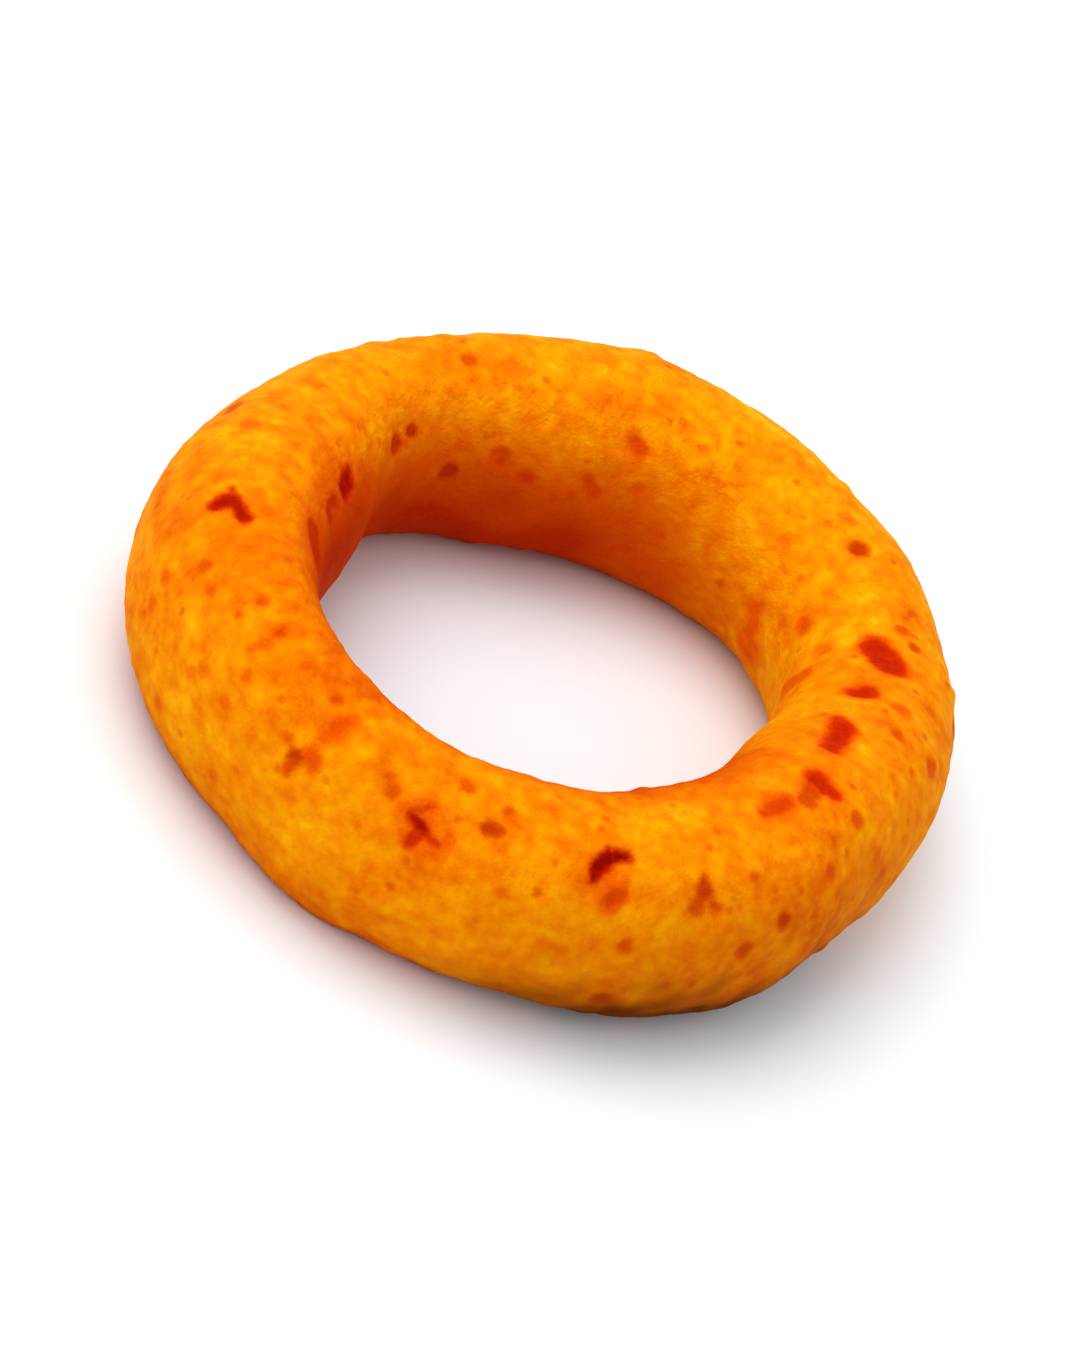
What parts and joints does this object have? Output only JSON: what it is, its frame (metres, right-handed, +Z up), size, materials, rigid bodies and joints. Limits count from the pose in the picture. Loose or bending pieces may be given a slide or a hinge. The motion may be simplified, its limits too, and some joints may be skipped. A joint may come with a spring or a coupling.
{
  "type": "onion ring",
  "caption": "Battered and deep-fried onion ring: a thick, uneven closed tube of golden crust round an open hole, lying flat.",
  "frame": {"origin": "under the middle of the ring's outer box, on the surface that the ring lies on", "axes": "+Z up through the hole, +Y along the ring's longer diameter and away from the viewer, +X to the viewer's right"},
  "size_m": [0.0774, 0.0848, 0.0223],
  "materials": {
    "fried_batter": "golden fried batter, matt with a faint sheen of oil"
  },
  "bodies": {
    "root": {"onion_ring": "fried_batter"}
  },
  "joints": []
}
